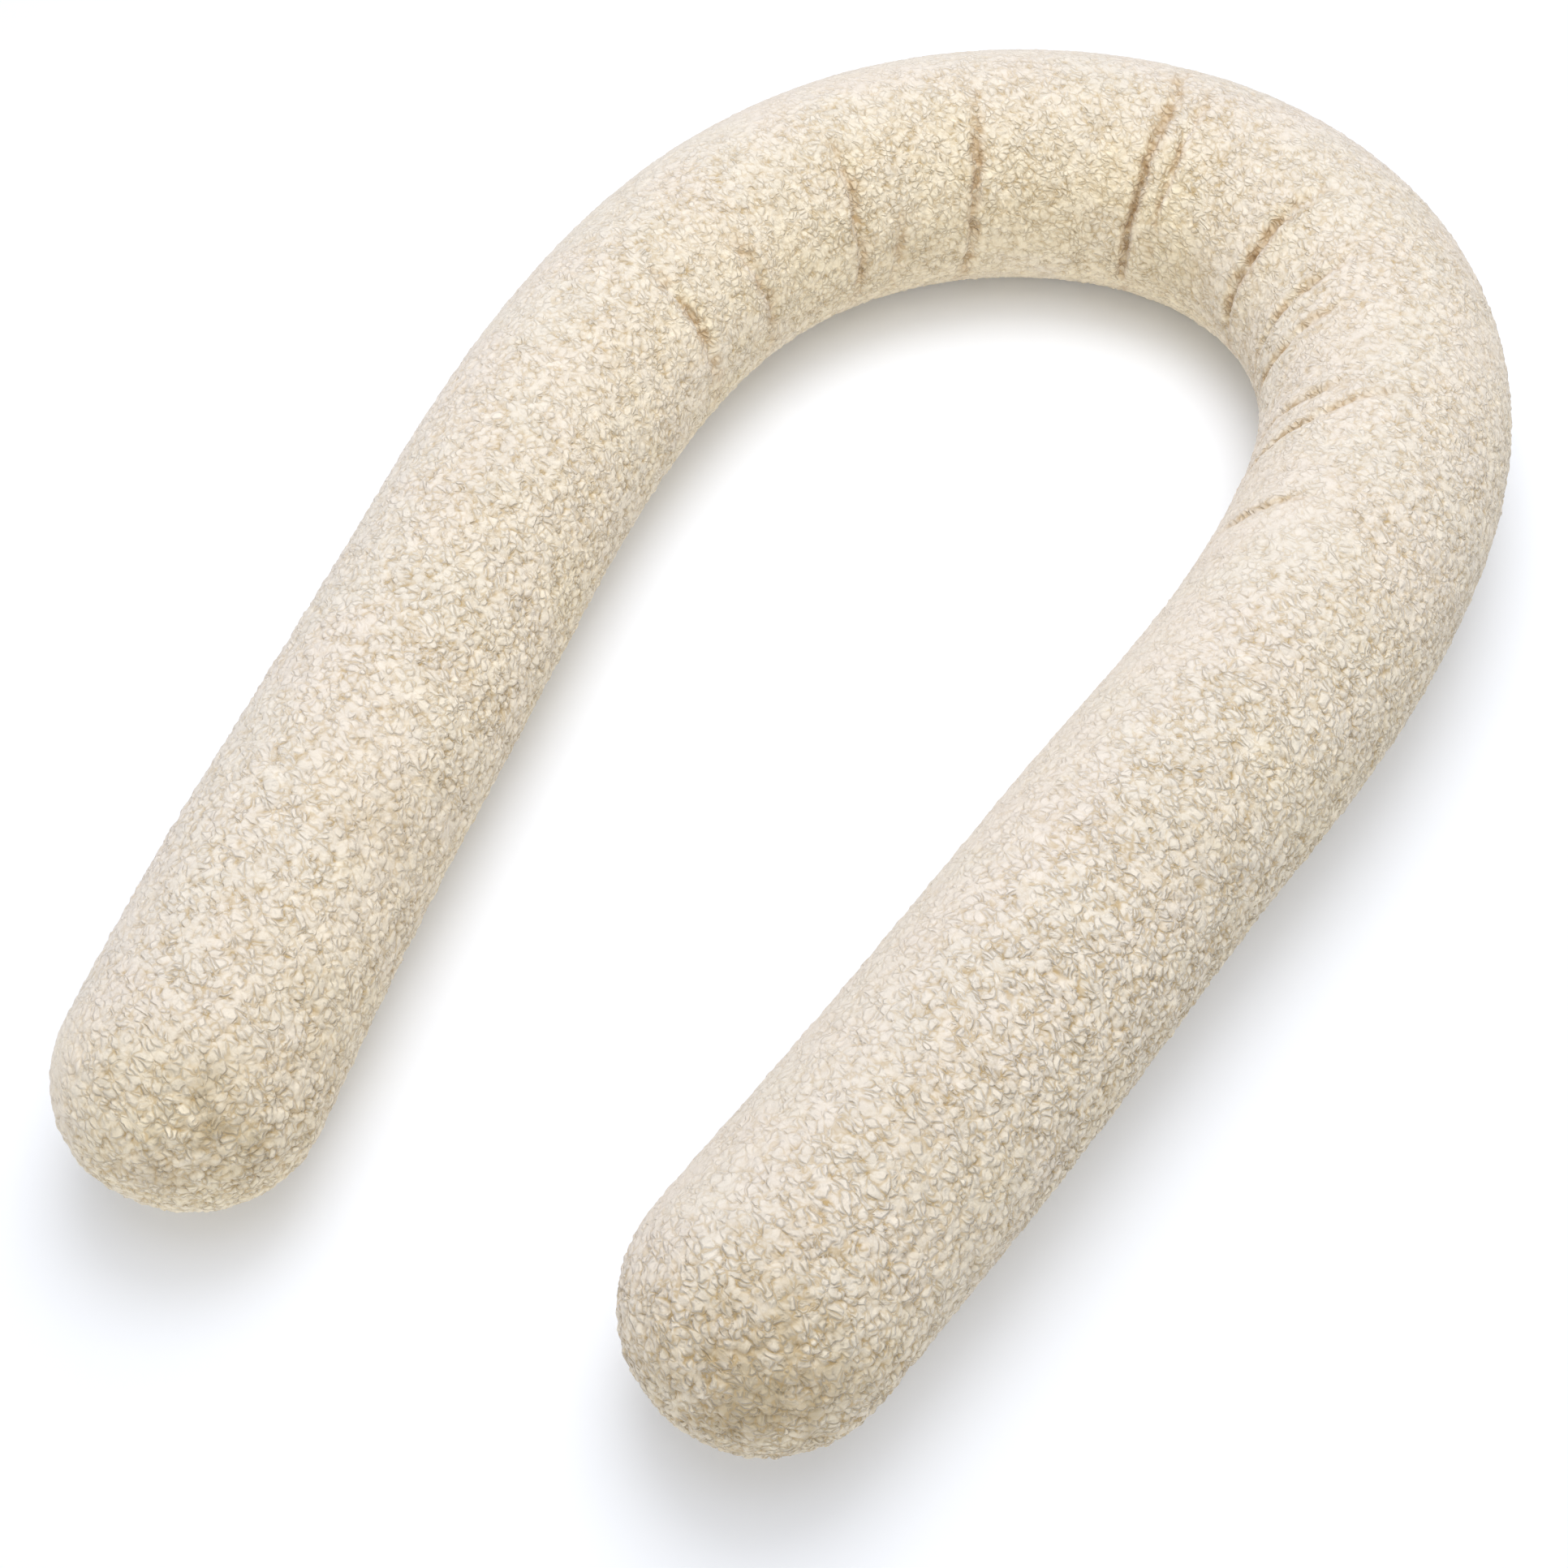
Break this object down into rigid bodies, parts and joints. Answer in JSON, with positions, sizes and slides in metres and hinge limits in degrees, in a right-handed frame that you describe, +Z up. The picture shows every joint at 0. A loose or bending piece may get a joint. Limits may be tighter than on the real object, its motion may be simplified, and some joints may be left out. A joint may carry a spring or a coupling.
{
  "type": "body pillow",
  "caption": "Long stuffed tube pillow in cream curly pile cloth with domed ends, bent into a horseshoe and creased on the inside of its bend.",
  "frame": {"origin": "middle of the pillow's footprint, on the surface that it rests on", "axes": "+Z up; +Y from the open end towards the bend; +X towards the right arm as seen from the open end"},
  "size_m": [0.6797, 1.1041, 0.1595],
  "materials": {
    "curly_pile": "matt wool-like pile cloth with small curls, tan in the hollows"
  },
  "bodies": {
    "root": {"body_pillow": "curly_pile"}
  },
  "joints": []
}
